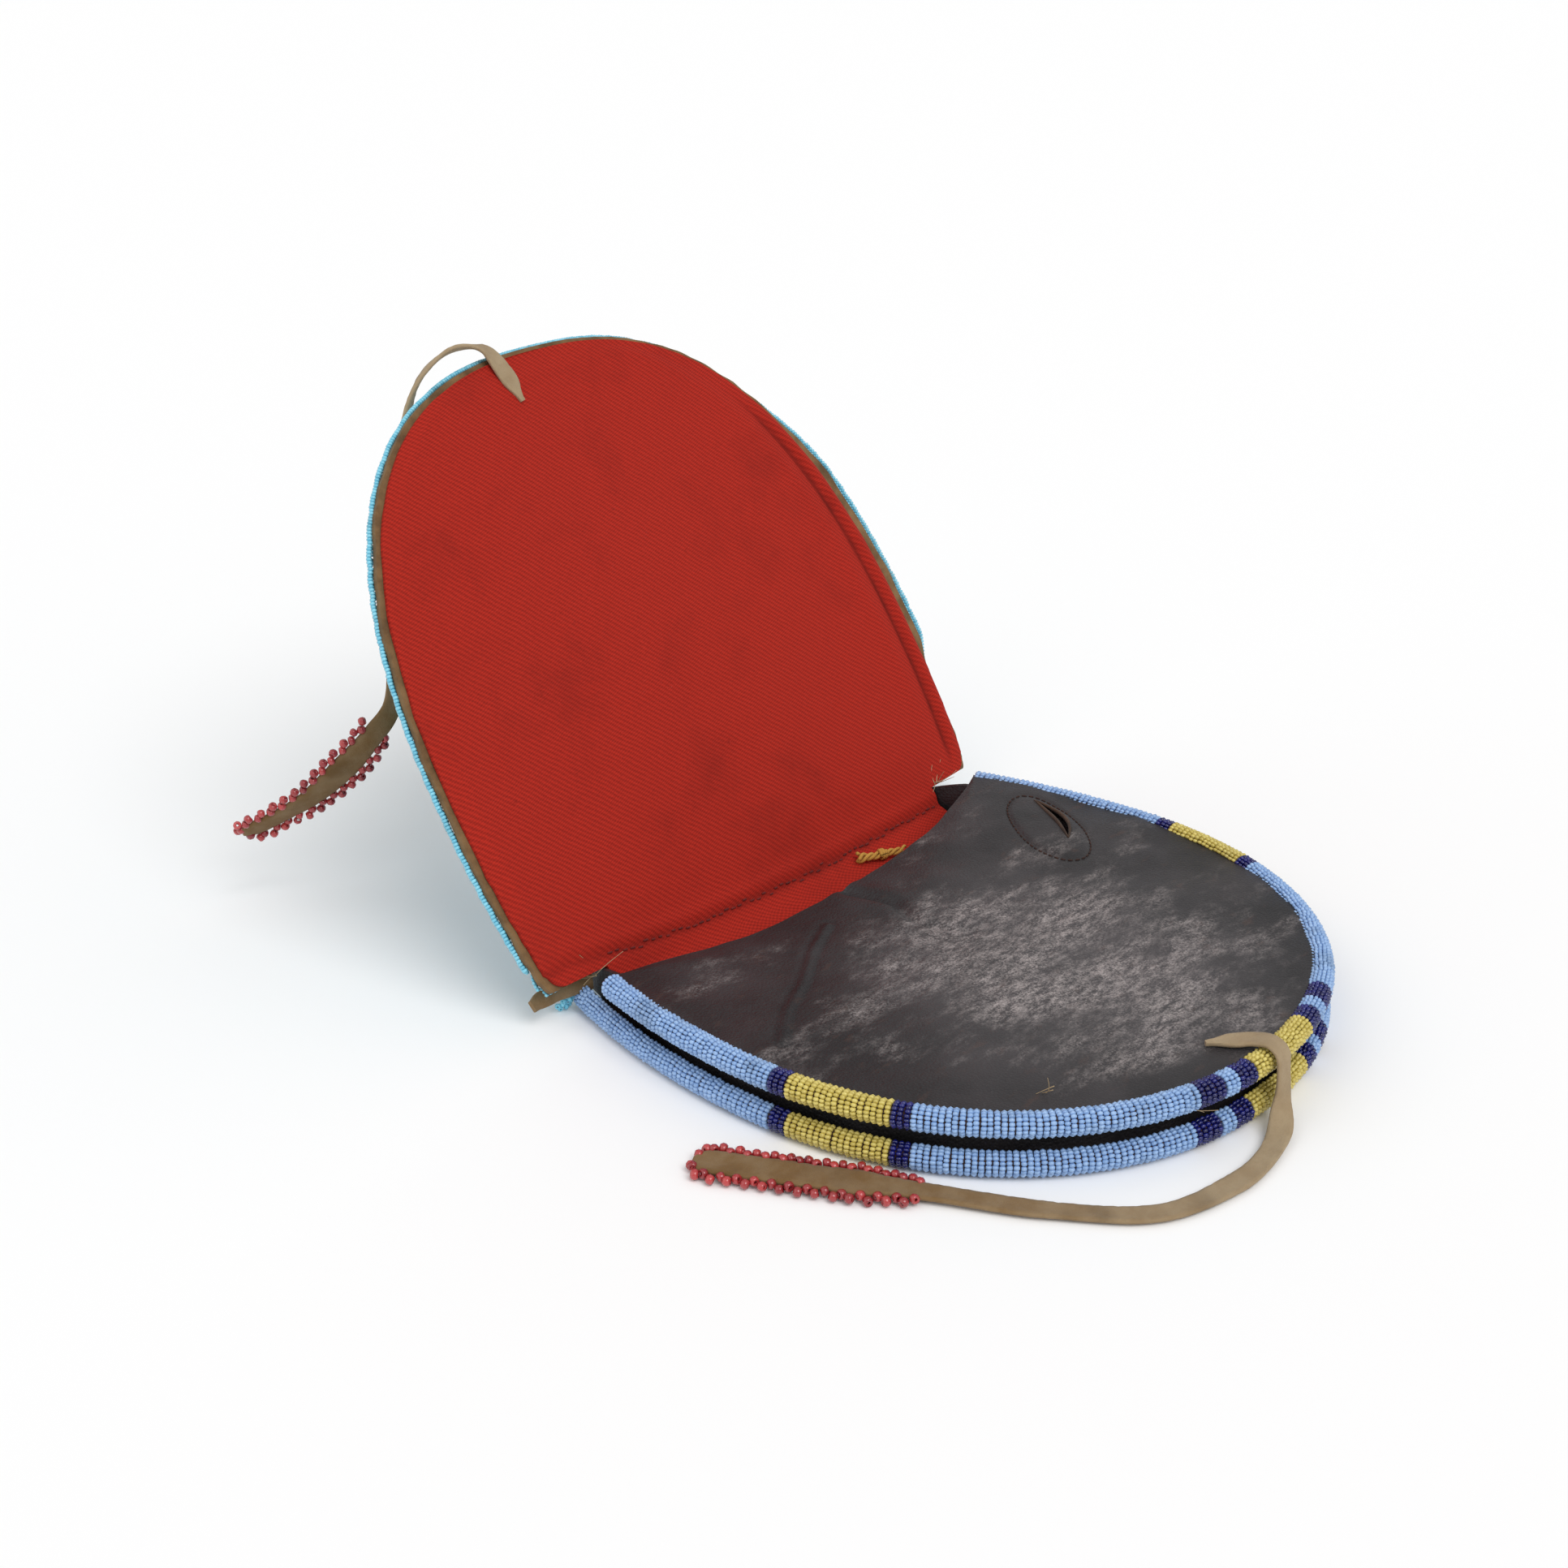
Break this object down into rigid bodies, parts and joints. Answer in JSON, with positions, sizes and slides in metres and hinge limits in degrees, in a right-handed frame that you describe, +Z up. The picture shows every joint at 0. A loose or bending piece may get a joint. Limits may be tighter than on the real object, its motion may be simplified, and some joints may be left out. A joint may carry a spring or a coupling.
{
  "type": "beaded belt pouch",
  "caption": "Flat round-ended leather belt pouch with beaded rims, a red-lined beaded flap that folds over the mouth, and two tie thongs with bead-edged tabs.",
  "frame": {"origin": "on the surface it lies on, under the middle of its bounding box, the thongs left out", "axes": "+X along the flap hinge, +Y from the pouch's tip towards the hinge, +Z up from the back panel to the front panel"},
  "size_m": [0.2617, 0.3602, 0.186],
  "materials": {
    "black_leather": "worn",
    "red_wool": "twill",
    "buckskin": "suede",
    "thong_hide": "suede",
    "blue_beads": "opaque glass",
    "navy_beads": "opaque glass",
    "yellow_beads": "opaque glass",
    "turquoise_beads": "opaque glass",
    "red_beads": "translucent glass",
    "mustard_yarn": "wool yarn"
  },
  "bodies": {
    "pouch": {"back_panel": "black_leather", "back_rim_01_blue": "blue_beads", "back_rim_02_navy": "navy_beads", "back_rim_03_yellow": "yellow_beads", "back_rim_04_navy": "navy_beads", "back_rim_05_blue": "blue_beads", "back_rim_06_navy": "navy_beads", "back_rim_07_blue": "blue_beads", "back_rim_08_navy": "navy_beads", "back_rim_09_yellow": "yellow_beads", "back_rim_10_navy": "navy_beads", "back_rim_11_blue": "blue_beads", "back_rim_12_navy": "navy_beads", "back_rim_13_blue": "blue_beads", "back_rim_14_navy": "navy_beads", "back_rim_15_yellow": "yellow_beads", "back_rim_16_navy": "navy_beads", "back_rim_17_blue": "blue_beads", "corner_beads": "turquoise_beads", "corner_thong": "thong_hide", "front_panel": "black_leather", "front_rim_01_blue": "blue_beads", "front_rim_02_navy": "navy_beads", "front_rim_03_yellow": "yellow_beads", "front_rim_04_navy": "navy_beads", "front_rim_05_blue": "blue_beads", "front_rim_06_navy": "navy_beads", "front_rim_07_blue": "blue_beads", "front_rim_08_navy": "navy_beads", "front_rim_09_yellow": "yellow_beads", "front_rim_10_navy": "navy_beads", "front_rim_11_blue": "blue_beads", "front_rim_12_navy": "navy_beads", "front_rim_13_blue": "blue_beads", "front_rim_14_navy": "navy_beads", "front_rim_15_yellow": "yellow_beads", "front_rim_16_navy": "navy_beads", "front_rim_17_blue": "blue_beads", "front_tab_beads": "red_beads", "front_thong": "thong_hide", "gusset": "black_leather", "mouth_lining": "red_wool", "slit_facing": "black_leather", "spine_hide": "buckskin", "yarn_knot": "mustard_yarn"},
    "flap": {"flap_lining": "red_wool", "flap_hide": "buckskin", "flap_beadwork": "turquoise_beads", "flap_thong": "thong_hide", "flap_tab_beads": "red_beads"}
  },
  "joints": [
    {"name": "flap_hinge", "type": "hinge", "parent": "pouch", "child": "flap", "pos_m": [0, 0.04347, 0.02185], "axis": [1, 0, 0], "range_deg": [0, 122]}
  ]
}
